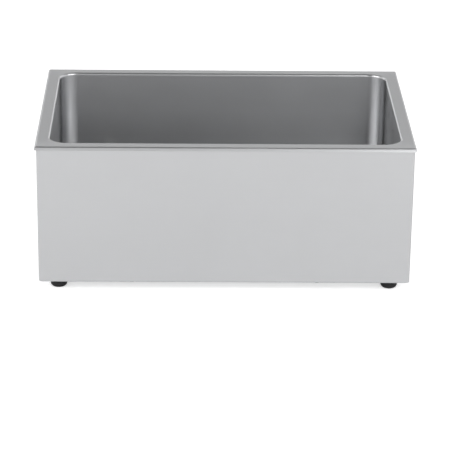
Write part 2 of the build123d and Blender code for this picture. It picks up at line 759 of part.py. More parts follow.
with BuildPart() as cutout_nut:
    with Locations(behind(cutout_x, control_z)):
        add(hex_nut(14.0, 3.0, cutout_neck + 2 * running_clearance))
cutout_nut.part.label = "cutout_nut"
export_step(cutout_nut.part, "parts/cutout_nut.step")

with BuildPart() as reset_button:
    with BuildSketch(behind(cutout_x, control_z, neck_out - button_seat)):
        Circle(button_diameter / 2)
    extrude(amount=button_seat + button_travel + 1.0)
    fillet(reset_button.edges().group_by(Axis.Y)[-1], 1.0)
reset_button.part.label = "reset_button"
export_step(reset_button.part, "parts/reset_button.step")

# Rocker switch: the housing's well leaves room for the rocker's ends as it tips
rocker_end = 3.2
rocker_middle = 1.6
rocker_root = 4.0
rocker_swing = math.hypot(rocker_size[1] / 2, rocker_end)
pivot_radius = 1.5
pivot_length = 1.3
with BuildPart() as switch_housing:
    with BuildSketch(behind(switch_x, control_z)):
        RectangleRounded(switch_bezel[0], switch_bezel[1], 2.0)
    extrude(amount=2.0)
    chamfer(switch_housing.edges().group_by(Axis.Y)[-1], 0.6)
    with BuildSketch(behind(switch_x, control_z)):
        Rectangle(switch_bezel[0] - 3.0, switch_bezel[1] - 3.0)
    extrude(amount=-casing_sheet - switch_depth)
    with BuildSketch(behind(switch_x, control_z, 2.0)):
        Rectangle(rocker_size[0] + 2 * body_clearance, 2 * (rocker_swing + body_clearance))
    extrude(amount=-12.0, mode=Mode.SUBTRACT)
    with BuildSketch(Plane((switch_x, rear_face, control_z), x_dir=(0, 1, 0), z_dir=(1, 0, 0))):
        Circle(pivot_radius + running_clearance)
    extrude(amount=rocker_size[0] / 2 + pivot_length + body_clearance, both=True, mode=Mode.SUBTRACT)
switch_housing.part.label = "switch_housing"
export_step(switch_housing.part, "parts/switch_housing.step")

# The rocker rests with its lower half pressed in
tilt = math.radians(rocker_tilt)
rocker_plane = Plane(
    (switch_x, rear_face, control_z),
    x_dir=(0, math.cos(tilt), -math.sin(tilt)),
    z_dir=(1, 0, 0),
)
with BuildPart() as switch_rocker:
    with BuildSketch(rocker_plane):
        with BuildLine():
            half = rocker_size[1] / 2
            Polyline(
                (rocker_end, -half),
                (rocker_middle, 0),
                (rocker_end, half),
                (-rocker_root, half - 2.0),
                (-rocker_root, 2.0 - half),
                close=True,
            )
        make_face()
    extrude(amount=rocker_size[0] / 2, both=True)
    fillet(switch_rocker.edges().filter_by(Axis.X).group_by(Axis.Y)[-1], 0.6)
    with BuildSketch(rocker_plane):
        Circle(pivot_radius)
    extrude(amount=rocker_size[0] / 2 + pivot_length, both=True)
switch_rocker.part.label = "switch_rocker"
export_step(switch_rocker.part, "parts/switch_rocker.step")

# Lamps: snap-in housings with domed lenses
with BuildPart() as lamp_housings:
    for x in (power_lamp_x, heating_lamp_x):
        with BuildSketch(behind(x, control_z)):
            Circle(lamp_radius + 1.6)
        extrude(amount=1.8)
        with BuildSketch(behind(x, control_z)):
            Circle(lamp_radius)
        extrude(amount=-casing_sheet - lamp_depth)
        with Locations(behind(x, control_z, 1.8)):
            Hole(lamp_radius - 0.8, depth=3.0)
lamp_housings.part.label = "lamp_housings"
export_step(lamp_housings.part, "parts/lamp_housings.step")


def lamp_lens(x):
    """A domed lens seated in its housing."""
    lens_radius = lamp_radius - 0.85
    with BuildPart() as lens:
        with BuildSketch(behind(x, control_z, -1.2)):
            Circle(lens_radius)
        extrude(amount=6.2)
        fillet(lens.edges().group_by(Axis.Y)[-1], 2.4)
    return lens.part


with BuildPart() as power_lamp_lens:
    add(lamp_lens(power_lamp_x))
power_lamp_lens.part.label = "power_lamp_lens"
export_step(power_lamp_lens.part, "parts/power_lamp_lens.step")

with BuildPart() as heating_lamp_lens:
    add(lamp_lens(heating_lamp_x))
heating_lamp_lens.part.label = "heating_lamp_lens"
export_step(heating_lamp_lens.part, "parts/heating_lamp_lens.step")

# Appliance inlet: a flanged body with a recess whose two upper corners are cut off
inlet_flange_thickness = 2.5
recess_bevel = 4.0
with BuildPart() as appliance_inlet:
    with BuildSketch(behind(inlet_x, control_z)):
        RectangleRounded(inlet_flange[0], inlet_flange[1], 4.0)
        with GridLocations(inlet_screw_pitch, 1.0, 2, 1):
            Circle(m3 / 2 + screw_clearance, mode=Mode.SUBTRACT)
    extrude(amount=inlet_flange_thickness)
    with BuildSketch(behind(inlet_x, control_z)):
        Rectangle(inlet_body[0], inlet_body[1])
    extrude(amount=-casing_sheet - inlet_depth)
    with BuildSketch(behind(inlet_x, control_z, inlet_flange_thickness)):
        Rectangle(inlet_recess[0], inlet_recess[1])
    extrude(amount=-inlet_recess_depth, mode=Mode.SUBTRACT)
    for side in (-1, 1):
        corner_x = side * inlet_recess[0] / 2
        with BuildSketch(behind(inlet_x, control_z, inlet_flange_thickness)):
            with BuildLine():
                Polyline(
                    (corner_x, inlet_recess[1] / 2),
                    (corner_x - side * recess_bevel, inlet_recess[1] / 2),
                    (corner_x, inlet_recess[1] / 2 - recess_bevel),
                    close=True,
                )
            make_face()
        extrude(amount=-inlet_recess_depth)
appliance_inlet.part.label = "appliance_inlet"
export_step(appliance_inlet.part, "parts/appliance_inlet.step")

inlet_pin_length = 12.0
with BuildPart() as inlet_pins:
    with BuildSketch(behind(inlet_x, control_z, inlet_flange_thickness - inlet_recess_depth)):
        with Locations(
            (-inlet_pin_pitch, -inlet_pin_offset),
            (0, inlet_pin_offset),
            (inlet_pin_pitch, -inlet_pin_offset),
        ):
            Rectangle(2.0, 4.0)
    extrude(amount=inlet_pin_length)
    chamfer(inlet_pins.edges().group_by(Axis.Y)[-1], 0.6)
inlet_pins.part.label = "inlet_pins"
export_step(inlet_pins.part, "parts/inlet_pins.step")

with BuildPart() as inlet_fixings:
    for side in (-1, 1):
        screw_x = inlet_x + side * inlet_screw_pitch / 2
        with Locations(behind(screw_x, control_z, inlet_flange_thickness)):
            add(pan_screw(m3, inlet_flange_thickness + casing_sheet + nut_height[m3] + 2.0, 2.8, 1.9))
        with Locations(behind(screw_x, control_z, -casing_sheet - nut_height[m3])):
            add(fixed_nut(m3))
inlet_fixings.part.label = "inlet_fixings"
export_step(inlet_fixings.part, "parts/inlet_fixings.step")

# Spade terminals on the backs of the electrical parts
with BuildPart() as spade_terminals:
    for x, y, z in tabs.values():
        with BuildSketch(Plane(place(x, y, z), x_dir=(-1, 0, 0), z_dir=(0, 1, 0))):
            Rectangle(tab_size[0], tab_size[1])
        extrude(amount=-tab_size[2])
spade_terminals.part.label = "spade_terminals"
export_step(spade_terminals.part, "parts/spade_terminals.step")

# Terminal block for the lamps' wires, and the earth stud
block_ways = 4
block_pitch = 8.0
block_x = inlet_x - 73.0
block_front = shield_y + 32.0
block_depth = 20.0
block_height = 16.0
with BuildPart() as terminal_block:
    with BuildSketch(level(casing_bottom)):
        with Locations((block_x, block_front + block_depth / 2)):
            RectangleRounded(block_ways * block_pitch + 12.0, block_depth, 2.0)
    extrude(amount=block_height)
    with Locations(place(block_x, block_front + block_depth / 2, casing_bottom + block_height)):
        with GridLocations(block_pitch, 1.0, block_ways, 1):
            Hole(2.4, depth=5.0)
terminal_block.part.label = "terminal_block"
export_step(terminal_block.part, "parts/terminal_block.step")

earth_x = inlet_x - 43.0
earth_y = shield_y + 45.0
ring_z = casing_bottom + nut_height[m4]
ring_sheet = 0.8
with BuildPart() as earth_stud:
    with BuildSketch(level(casing_bottom)):
        with Locations((earth_x, earth_y)):
            Circle(m4 / 2)
    extrude(amount=14.0)
    with Locations(place(earth_x, earth_y, casing_bottom), place(earth_x, earth_y, ring_z + ring_sheet)):
        add(fixed_nut(m4))
earth_stud.part.label = "earth_stud"
export_step(earth_stud.part, "parts/earth_stud.step")

# Wires: each leaves its tab, drops into its own lane, runs along it and rises to the far tab
lane_z = casing_bottom + 12.0
tab_lane = panel_front - 45.5
pin_x = element_lead_x
pin_end = lead_end + element_pin_length


def tab_end(name):
    """The free end of a spade terminal."""
    x, y, z = tabs[name]
    return (x, y - tab_size[2], z)


def lane_wire(start, lane, height, end):
    """A wire from one terminal to another through a lane at its own distance from the panel."""
    return [start, (start[0], lane, start[2]), (start[0], lane, height), (end[0], lane, height),
            (end[0], lane, end[2]), end]


def block_wire(start, lane, way):
    """A wire from a lamp's terminal to one way of the terminal block."""
    x = block_x + (block_ways - 1) * block_pitch / 2 - way * block_pitch
    height = casing_bottom + block_height / 2
    return [start, (start[0], lane, start[2]), (start[0], lane, height), (x, lane, height),
            (x, block_front, height)]


barrel_radius = 1.8
barrel_start = 4.4
barrel_length = 7.0
earth_end = (earth_x + barrel_start + barrel_length, earth_y, ring_z + ring_sheet / 2)
wire_routes = [
    lane_wire(tab_end("live"), tab_lane, lane_z, tab_end("switch_in")),
    lane_wire(tab_end("switch_out"), tab_lane - 8.0, lane_z, tab_end("thermostat_in")),
    lane_wire(tab_end("thermostat_out"), tab_lane - 14.0, lane_z, tab_end("cutout_in")),
    [
        tab_end("cutout_out"),
        (tabs["cutout_out"][0], pin_end + 14.0, control_z),
        (tabs["cutout_out"][0], pin_end + 14.0, element_z),
        (pin_x, pin_end + 14.0, element_z),
        (pin_x, pin_end, element_z),
    ],
    [
        tab_end("neutral"),
        (tabs["neutral"][0], pin_end + 10.0, tabs["neutral"][2]),
        (tabs["neutral"][0], pin_end + 10.0, element_z),
        (-pin_x, pin_end + 10.0, element_z),
        (-pin_x, pin_end, element_z),
    ],
    [
        tab_end("earth"),
        (tabs["earth"][0], earth_y, tabs["earth"][2]),
        (tabs["earth"][0], earth_y, earth_end[2]),
        earth_end,
    ],
    block_wire(tab_end("power_in"), shield_y + 20.0, 0),
    block_wire(tab_end("power_out"), shield_y + 16.0, 1),
    block_wire(tab_end("heating_in"), shield_y + 12.0, 2),
    block_wire(tab_end("heating_out"), shield_y + 8.0, 3),
]
with BuildPart() as wiring:
    for points in wire_routes:
        add(tube([place(*point) for point in points], wire_bend, wire_diameter))
    with Locations(place(earth_x, earth_y, ring_z)):
        add(ring(4.6, m4 / 2 + running_clearance, ring_sheet))
    with BuildSketch(Plane(place(earth_x + barrel_start, earth_y, ring_z + ring_sheet / 2), z_dir=(1, 0, 0))):
        Circle(barrel_radius)
    extrude(amount=barrel_length)
wiring.part.label = "wiring"
export_step(wiring.part, "parts/wiring.step")

# Drain fitting: a flanged tube through the well's floor
fitting_bottom = drain_z + 10.0
with BuildPart() as drain_fitting:
    with Locations(place(drain_x, drain_y, floor_top)):
        Cylinder(drain_flange_radius, drain_flange_thickness, align=(Align.CENTER, Align.CENTER, Align.MIN))
    chamfer(drain_fitting.edges().group_by(Axis.Z)[-1], 0.8)
    with BuildSketch(level(floor_top)):
        with Locations((drain_x, drain_y)):
            Circle(drain_pipe_radius)
    extrude(amount=fitting_bottom - floor_top)
    with Locations(place(drain_x, drain_y, floor_top + drain_flange_thickness)):
        Hole(drain_bore)
drain_fitting.part.label = "drain_fitting"
export_step(drain_fitting.part, "parts/drain_fitting.step")

# Strainer: a low perforated cone, a skirt in the fitting's bore and a stub to lift it by
strainer_z = floor_top + drain_flange_thickness + body_clearance
strainer_radius = drain_flange_radius - 1.5
strainer_sheet = 1.2
strainer_rise = 2.0
strainer_skirt = drain_bore - 0.5
with BuildPart() as drain_strainer:
    with BuildSketch(Plane(place(drain_x, drain_y, strainer_z), x_dir=(1, 0, 0), z_dir=(0, -1, 0))):
        with BuildLine():
            Polyline(
                (0, strainer_rise),
                (0, strainer_rise + strainer_sheet),
                (0.3 * strainer_radius, strainer_rise + strainer_sheet),
                (strainer_radius, strainer_sheet),
                (strainer_radius, 0),
                (strainer_radius - 1.0, 0),
                (0.3 * strainer_radius, strainer_rise),
                close=True,
            )
        make_face()
    revolve(axis=Axis(place(drain_x, drain_y, 0), (0, 0, 1)))
    with Locations(place(drain_x, drain_y, strainer_z + 4.0)):
        with PolarLocations(0.3 * strainer_radius, 6):
            Hole(1.3, depth=5.0)
        with PolarLocations(0.72 * strainer_radius, 14):
            Hole(1.6, depth=5.0)
    with BuildSketch(level(strainer_z - 7.0)):
        with Locations((drain_x, drain_y)):
            Circle(strainer_skirt)
            Circle(strainer_skirt - 0.8, mode=Mode.SUBTRACT)
    extrude(amount=7.0 + strainer_rise + 0.4)
    with BuildSketch(level(strainer_z + strainer_rise + 0.5)):
        with Locations((drain_x, drain_y)):
            Circle(2.2)
    extrude(amount=8.0)
    fillet(drain_strainer.edges().group_by(Axis.Z)[-1], 1.0)
drain_strainer.part.label = "drain_strainer"
export_step(drain_strainer.part, "parts/drain_strainer.step")

with BuildPart() as drain_gasket:
    with Locations(place(drain_x, drain_y, tank_bottom - gasket_thickness)):
        add(ring(16.0, drain_pipe_radius + 0.1, gasket_thickness))
drain_gasket.part.label = "drain_gasket"
export_step(drain_gasket.part, "parts/drain_gasket.step")

with BuildPart() as drain_locknut:
    with Locations(place(drain_x, drain_y, tank_bottom - gasket_thickness - locknut_height)):
        add(hex_nut(28.0, locknut_height, 2 * (drain_pipe_radius + running_clearance)))
drain_locknut.part.label = "drain_locknut"
export_step(drain_locknut.part, "parts/drain_locknut.step")

# Elbow: a swept bend with a collar and a socket at each end
elbow_top = fitting_bottom + 11.0
elbow_back = drain_y + 32.0
collar_radius = drain_pipe_radius + 3.4
socket_depth = 11.0
elbow_points = [
    place(drain_x, drain_y, elbow_top),
    place(drain_x, drain_y, drain_z),
    place(drain_x, elbow_back, drain_z),
]
with BuildPart() as drain_elbow:
    add(tube(elbow_points, 14.0, 2 * drain_pipe_radius + 3.0))
    with BuildSketch(level(elbow_top)):
        with Locations((drain_x, drain_y)):
            Circle(collar_radius)
    extrude(amount=-socket_depth)
    with BuildSketch(Plane(place(drain_x, elbow_back, drain_z), x_dir=(-1, 0, 0), z_dir=(0, 1, 0))):
        Circle(collar_radius)
    extrude(amount=-socket_depth)
    add(tube(elbow_points, 14.0, 2 * drain_bore), mode=Mode.SUBTRACT)
    with BuildSketch(level(elbow_top)):
        with Locations((drain_x, drain_y)):
            Circle(drain_pipe_radius + running_clearance)
    extrude(amount=-socket_depth, mode=Mode.SUBTRACT)
    with BuildSketch(Plane(place(drain_x, elbow_back, drain_z), x_dir=(-1, 0, 0), z_dir=(0, 1, 0))):
        Circle(drain_pipe_radius + running_clearance)
    extrude(amount=-socket_depth, mode=Mode.SUBTRACT)
drain_elbow.part.label = "drain_elbow"
export_step(drain_elbow.part, "parts/drain_elbow.step")

# Pipe from the elbow through the panel into the valve
pipe_start = elbow_back - panel_back - socket_depth
pipe_end = valve_gap + valve_socket
with BuildPart() as drain_pipe:
    with BuildSketch(behind(drain_x, drain_z, pipe_start)):
        Circle(drain_pipe_radius)
        Circle(drain_bore - 0.5, mode=Mode.SUBTRACT)
    extrude(amount=pipe_end - pipe_start)
drain_pipe.part.label = "drain_pipe"
export_step(drain_pipe.part, "parts/drain_pipe.step")

with BuildPart() as drain_grommet:
    grommet_lip = 1.6
    for start, radius, length in (
        (-casing_sheet - grommet_lip, drain_pipe_radius + 5.5, grommet_lip),
        (-casing_sheet, drain_pipe_radius + 2.9, casing_sheet),
        (0.0, drain_pipe_radius + 5.5, grommet_lip),
    ):
        with BuildSketch(behind(drain_x, drain_z, start)):
            Circle(radius)
            Circle(drain_pipe_radius + 0.1, mode=Mode.SUBTRACT)
        extrude(amount=length)
drain_grommet.part.label = "drain_grommet"
export_step(drain_grommet.part, "parts/drain_grommet.step")

# Valve body: a hexagon socket end, a barrel with the ball's chamber, and a neck for the stem
ball_out = valve_gap + ball_from_end
chamber_radius = ball_radius + 1.3
chamber_start = ball_out - ball_radius + 0.5
neck_top = drain_z + neck_height
with BuildPart() as valve_body:
    with BuildSketch(behind(drain_x, drain_z, valve_gap)):
        RegularPolygon(14.5, 6, major_radius=False)
    extrude(amount=valve_socket + 1.0)
    with BuildSketch(behind(drain_x, drain_z, valve_gap + valve_socket)):
        Circle(valve_radius)
    extrude(amount=valve_length - valve_socket)
    fillet(valve_body.faces().sort_by(Axis.Y)[-1].edges(), 1.2)
    with BuildSketch(Plane((drain_x, rear_face + ball_out, drain_z))):
        Circle(neck_radius)
    extrude(amount=neck_height)
    with Locations(behind(drain_x, drain_z, valve_gap)):
        Hole(drain_pipe_radius + running_clearance, depth=valve_socket)
    with Locations(behind(drain_x, drain_z, valve_gap)):
        Hole(ball_bore, depth=valve_length)
    with BuildSketch(behind(drain_x, drain_z, chamber_start)):
        Circle(chamber_radius)
    extrude(amount=valve_length, mode=Mode.SUBTRACT)
    with Locations(Plane((drain_x, rear_face + ball_out, neck_top))):
        Hole(stem_radius + running_clearance, depth=neck_height)
valve_body.part.label = "valve_body"
export_step(valve_body.part, "parts/valve_body.step")

with BuildPart() as valve_seats:
    for start in (chamber_start, ball_out + ball_radius - 0.5 - seat_length):
        with BuildSketch(behind(drain_x, drain_z, start)):
            Circle(chamber_radius - 0.05)
            Circle(ball_bore, mode=Mode.SUBTRACT)
        extrude(amount=seat_length)
    with Locations((drain_x, rear_face + ball_out, drain_z)):
        Sphere(ball_radius + seat_clearance, mode=Mode.SUBTRACT)
valve_seats.part.label = "valve_seats"
export_step(valve_seats.part, "parts/valve_seats.step")

# Ball, stem and lever turn together; at rest the ball's bore lies across the pipe
slot_width = 3.2
slot_depth = 2.6
with BuildPart() as valve_ball:
    with Locations((drain_x, rear_face + ball_out, drain_z)):
        Sphere(ball_radius)
    with BuildSketch(Plane((drain_x, rear_face + ball_out, drain_z), x_dir=(0, 1, 0), z_dir=(1, 0, 0))):
        Circle(ball_bore)
    extrude(amount=ball_radius, both=True, mode=Mode.SUBTRACT)
    with BuildSketch(Plane((drain_x, rear_face + ball_out, drain_z + ball_radius))):
        Rectangle(2 * ball_radius, slot_width)
    extrude(amount=-slot_depth, mode=Mode.SUBTRACT)
valve_ball.part.label = "valve_ball"
export_step(valve_ball.part, "parts/valve_ball.step")

packing_height = 5.0
lever_bottom = neck_top + packing_height + body_clearance
lever_nut_height = 4.0
stem_top = lever_bottom + lever_thickness + lever_nut_height + 1.2
stem_square = 5.6
with BuildPart() as valve_stem:
    with BuildSketch(Plane((drain_x, rear_face + ball_out, drain_z + ball_radius + 0.3))):
        Circle(stem_radius)
    extrude(amount=lever_bottom - drain_z - ball_radius - 0.3)
    with BuildSketch(Plane((drain_x, rear_face + ball_out, lever_bottom))):
        RectangleRounded(stem_square, stem_square, 0.4)
    extrude(amount=lever_thickness)
    with BuildSketch(Plane((drain_x, rear_face + ball_out, lever_bottom + lever_thickness))):
        Circle(m5 / 2)
    extrude(amount=stem_top - lever_bottom - lever_thickness)
    with BuildSketch(Plane((drain_x, rear_face + ball_out, drain_z + ball_radius - slot_depth + 0.2))):
        Rectangle(2 * stem_radius - 1.6, slot_width - 0.2)
    extrude(amount=slot_depth + 0.3)
valve_stem.part.label = "valve_stem"
export_step(valve_stem.part, "parts/valve_stem.step")

with BuildPart() as packing_nut:
    with Locations(Plane((drain_x, rear_face + ball_out, neck_top))):
        add(hex_nut(14.0, packing_height, 2 * (stem_radius + running_clearance)))
packing_nut.part.label = "packing_nut"
export_step(packing_nut.part, "parts/packing_nut.step")

# Lever: a cranked strap over the stem's square, along the panel when the drain is shut
lever_hub = 9.0
lever_crank = 20.0
lever_plane = Plane((drain_x, rear_face + ball_out, lever_bottom), x_dir=(1, 0, 0), z_dir=(0, -1, 0))
with BuildPart() as drain_lever:
    with BuildSketch(lever_plane):
        with BuildLine():
            Polyline(
                (-lever_hub, 0),
                (lever_crank, 0),
                (lever_crank + lever_rise, lever_rise),
                (lever_length, lever_rise),
                (lever_length, lever_rise + lever_thickness),
                (lever_crank + lever_rise - 1.0, lever_rise + lever_thickness),
                (lever_crank - 1.0, lever_thickness),
                (-lever_hub, lever_thickness),
                close=True,
            )
        make_face()
    extrude(amount=lever_width / 2, both=True)
    fillet(drain_lever.edges().filter_by(Axis.Z).group_by(Axis.X)[0], lever_width / 2 - 0.5)
    fillet(drain_lever.edges().filter_by(Axis.Z).group_by(Axis.X)[-1], lever_width / 2 - 0.5)
    with BuildSketch(Plane((drain_x, rear_face + ball_out, lever_bottom))):
        RectangleRounded(stem_square + 0.1, stem_square + 0.1, 0.4)
    extrude(amount=lever_thickness, mode=Mode.SUBTRACT)
drain_lever.part.label = "drain_lever"
export_step(drain_lever.part, "parts/drain_lever.step")

with BuildPart() as lever_nut:
    with Locations(Plane((drain_x, rear_face + ball_out, lever_bottom + lever_thickness))):
        add(hex_nut(nut_flats[m5], lever_nut_height, m5 + 2 * running_clearance))
lever_nut.part.label = "lever_nut"
export_step(lever_nut.part, "parts/lever_nut.step")

# Grip: a plastic sleeve over the lever's outer end
grip_wall = 1.4
grip_length = 46.0
grip_end = drain_x + lever_length + grip_wall
grip_bottom = lever_bottom + lever_rise - grip_wall
with BuildPart() as lever_grip:
    with BuildSketch(Plane((grip_end, rear_face + ball_out, grip_bottom))):
        with Locations((-grip_length / 2, 0)):
            RectangleRounded(grip_length, lever_width + 2 * grip_wall, 5.0)
    extrude(amount=lever_thickness + 2 * grip_wall)
    fillet(lever_grip.edges().group_by(Axis.Z)[-1] + lever_grip.edges().group_by(Axis.Z)[0], 1.2)
    with BuildSketch(Plane((grip_end, rear_face + ball_out, lever_bottom + lever_rise - 0.05))):
        with Locations((-grip_wall - grip_length / 2, 0)):
            Rectangle(grip_length, lever_width + 0.1)
    extrude(amount=lever_thickness + 0.1, mode=Mode.SUBTRACT)
lever_grip.part.label = "lever_grip"
export_step(lever_grip.part, "parts/lever_grip.step")

# Hose tail: screwed into the valve's outlet end, with three barbs cut below its full radius
tail_start = ball_out + ball_radius - 0.5
tail_hex_start = valve_gap + valve_length
barb_start = tail_hex_start + tail_hex
with BuildPart() as hose_tail:
    with BuildSketch(behind(drain_x, drain_z, tail_start)):
        Circle(chamber_radius - running_clearance)
    extrude(amount=tail_hex_start - tail_start)
    with BuildSketch(behind(drain_x, drain_z, tail_hex_start)):
        RegularPolygon(13.5, 6, major_radius=False)
    extrude(amount=tail_hex)
    with BuildSketch(behind(drain_x, drain_z, barb_start)):
        Circle(tail_radius)
    extrude(amount=tail_length)
    chamfer(hose_tail.edges().group_by(Axis.Y)[-1], 0.6)
    for barb in range(3):
        barb_plane = behind(drain_x, drain_z, barb_start + barb_gap + barb * barb_pitch)
        with BuildSketch(barb_plane):
            Circle(tail_radius + 1.0)
            Circle(tail_radius - barb_depth, mode=Mode.SUBTRACT)
        extrude(amount=barb_pitch - barb_gap, mode=Mode.SUBTRACT)
        with BuildSketch(barb_plane):
            Circle(tail_radius)
        extrude(amount=barb_pitch - barb_gap, taper=math.degrees(math.atan2(barb_depth, barb_pitch - barb_gap)))
    with Locations(behind(drain_x, drain_z, barb_start + tail_length)):
        Hole(tail_bore)
hose_tail.part.label = "hose_tail"
export_step(hose_tail.part, "parts/hose_tail.step")
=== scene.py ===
import bmesh
import bpy
import math
from mathutils import Matrix, Vector


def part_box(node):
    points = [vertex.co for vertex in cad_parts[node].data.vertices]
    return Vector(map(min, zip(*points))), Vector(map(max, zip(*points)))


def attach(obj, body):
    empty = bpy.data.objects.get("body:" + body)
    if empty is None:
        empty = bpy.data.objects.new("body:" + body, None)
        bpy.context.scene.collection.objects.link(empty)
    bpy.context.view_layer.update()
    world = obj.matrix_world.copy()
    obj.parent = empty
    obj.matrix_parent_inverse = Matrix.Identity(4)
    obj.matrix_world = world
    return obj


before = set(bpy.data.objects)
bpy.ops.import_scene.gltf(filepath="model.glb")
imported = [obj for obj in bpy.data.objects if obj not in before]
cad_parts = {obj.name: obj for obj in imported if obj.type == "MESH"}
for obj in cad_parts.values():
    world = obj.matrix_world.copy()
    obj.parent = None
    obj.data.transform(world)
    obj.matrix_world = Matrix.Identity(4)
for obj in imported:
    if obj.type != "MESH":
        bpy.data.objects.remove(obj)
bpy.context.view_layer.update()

MM = 0.001
WHITE = (1.0, 1.0, 1.0, 1.0)

# Places that the finishes and the printed marks need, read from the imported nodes
tank_low, tank_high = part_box("well_tank")
dial_low, dial_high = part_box("dial_plate")
switch_low, switch_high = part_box("switch_housing")
REAR_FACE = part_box("rear_panel")[1].y

# The rim: its skirt stands out past its outline, and each strip has a flat and the bend into the well
SKIRT_OUT = 1.86 * MM
RIM_FLAT = 15.6 * MM
RIM_BEND = 3.4 * MM
RIM_STRIP = RIM_FLAT + RIM_BEND
RIM_MIDDLE_Y = (tank_low.y + tank_high.y) / 2
WELL_HALF_LENGTH = tank_high.x - SKIRT_OUT - RIM_STRIP
WELL_HALF_WIDTH = (tank_high.y - tank_low.y) / 2 - SKIRT_OUT - RIM_STRIP

# Below this height the well's colour is painted a little darker: painted shade for its lower walls and floor
PAINTED_SHADE_HEIGHT = 145 * MM

# Noise cells per metre along and across the scratches of the brushed finish
ALONG_GRAIN = 12.0
ACROSS_GRAIN = 5200.0

# A face counts as level where its normal is more upright than this
LEVEL_FACE = 0.72

# The tint that dims brushed steel where it is seen at a low angle
GRAZING_TINT = (0.62, 0.62, 0.62, 1.0)


class Graph:
    """Short calls for building a node tree."""

    def __init__(self, tree):
        self.tree = tree

    def add(self, kind, inputs=None, **settings):
        node = self.tree.nodes.new(kind)
        for key, value in settings.items():
            setattr(node, key, value)
        for key, value in (inputs or {}).items():
            self.feed(node.inputs[key], value)
        return node

    def feed(self, socket, value):
        if isinstance(value, bpy.types.NodeSocket):
            self.tree.links.new(value, socket)
        else:
            socket.default_value = value

    def math(self, operation, a, b=0.0):
        return self.add("ShaderNodeMath", {0: a, 1: b}, operation=operation).outputs[0]

    def blend(self, a, share_a, b, share_b):
        """The sum of two values, each by its share."""
        return self.math("ADD", self.math("MULTIPLY", a, share_a), self.math("MULTIPLY", b, share_b))

    def vector(self, operation, a, b=(0.0, 0.0, 0.0)):
        node = self.add("ShaderNodeVectorMath", {0: a, 1: b}, operation=operation)
        return node.outputs["Value" if operation == "DOT_PRODUCT" else "Vector"]

    def scale(self, vector, factor):
        return self.add("ShaderNodeVectorMath", {0: vector, "Scale": factor}, operation="SCALE").outputs[0]

    def split(self, vector):
        return self.add("ShaderNodeSeparateXYZ", {0: vector}).outputs

    def join(self, x, y, z):
        return self.add("ShaderNodeCombineXYZ", {0: x, 1: y, 2: z}).outputs[0]

    def mix(self, factor, a, b, kind="RGBA"):
        node = self.add("ShaderNodeMix", data_type=kind)
        first, out = {"RGBA": (6, 2), "FLOAT": (2, 0), "VECTOR": (4, 1)}[kind]
        for index, value in ((0, factor), (first, a), (first + 1, b)):
            self.feed(node.inputs[index], value)
        return node.outputs[out]

    def ramp(self, value, low, high, out_low=0.0, out_high=1.0):
        node = self.add("ShaderNodeMapRange", {0: value, 1: low, 2: high, 3: out_low, 4: out_high})
        return node.outputs[0]

    def spread(self, noise, out_low=0.0, out_high=1.0):
        """A noise value, which mostly lies between 0.3 and 0.7, spread over a range."""
        return self.ramp(noise, 0.3, 0.7, out_low, out_high)

    def noise(self, vector, scale, detail=2.0, roughness=0.5):
        settings = {"Vector": vector, "Scale": scale, "Detail": detail, "Roughness": roughness}
        return self.add("ShaderNodeTexNoise", settings).outputs[0]

    def bump(self, height, strength, distance):
        settings = {"Strength": strength, "Distance": distance, "Height": height}
        return self.add("ShaderNodeBump", settings).outputs[0]

    def place(self):
        """The position on the object, in metres, which doesn't move with a joint."""
        return self.add("ShaderNodeTexCoord").outputs["Object"]


FLOAT, VECTOR = "NodeSocketFloat", "NodeSocketVector"


def node_group(name, inputs, outputs, build):
    """A shader node group: build(graph, inputs) gives its outputs in order."""
    tree = bpy.data.node_groups.new(name, "ShaderNodeTree")
    for label, kind in inputs.items():
        tree.interface.new_socket(label, in_out="INPUT", socket_type=kind)
    for label, kind in outputs.items():
        tree.interface.new_socket(label, in_out="OUTPUT", socket_type=kind)
    g = Graph(tree)
    given = g.add("NodeGroupInput").outputs
    end = g.add("NodeGroupOutput")
    for socket, value in zip(end.inputs, build(g, given)):
        g.feed(socket, value)
    return tree


def use(g, tree, **inputs):
    """Places a node group and feeds its inputs by name."""
    node = g.add("ShaderNodeGroup", node_tree=tree)
    for key, value in inputs.items():
        g.feed(node.inputs[key.replace("_", " ").capitalize()], value)
    return node.outputs


def brushed_grain(g, given):
    """Scratches of a brushed finish, from a position drawn out along the grain."""
    fine = g.noise(given["Drawn out"], 1.0, 3.0, 0.62)
    broad = g.noise(g.scale(given["Drawn out"], 0.17), 1.0, 2.0, 0.5)
    scratches = g.blend(fine, 0.82, broad, 0.18)
    scratch_depth = 0.03 * MM
    return scratches, g.bump(scratches, given["Depth"], scratch_depth)


def wiped_clouds(g, given):
    """Broad faint clouds from rolling and wiping."""
    wide = g.noise(given["Place"], 7.0, 3.0, 0.55)
    small = g.noise(given["Place"], 46.0, 2.0, 0.5)
    return (g.blend(wide, 0.75, small, 0.25),)


def moulded_skin(g, given):
    """The fine pebbled skin of a moulded piece."""
    pebble = g.noise(given["Place"], given["Scale"], 2.0, 0.6)
    cloud = g.noise(given["Place"], 90.0, 2.0, 0.5)
    pebble_height = 0.1 * MM
    return g.blend(pebble, 0.4, cloud, 0.6), g.bump(pebble, given["Depth"], pebble_height)


GRAIN = node_group("brushed_grain", {"Drawn out": VECTOR, "Depth": FLOAT},
                   {"Value": FLOAT, "Normal": VECTOR}, brushed_grain)
CLOUDS = node_group("wiped_clouds", {"Place": VECTOR}, {"Value": FLOAT}, wiped_clouds)
SKIN = node_group("moulded_skin", {"Place": VECTOR, "Scale": FLOAT, "Depth": FLOAT},
                  {"Value": FLOAT, "Normal": VECTOR}, moulded_skin)


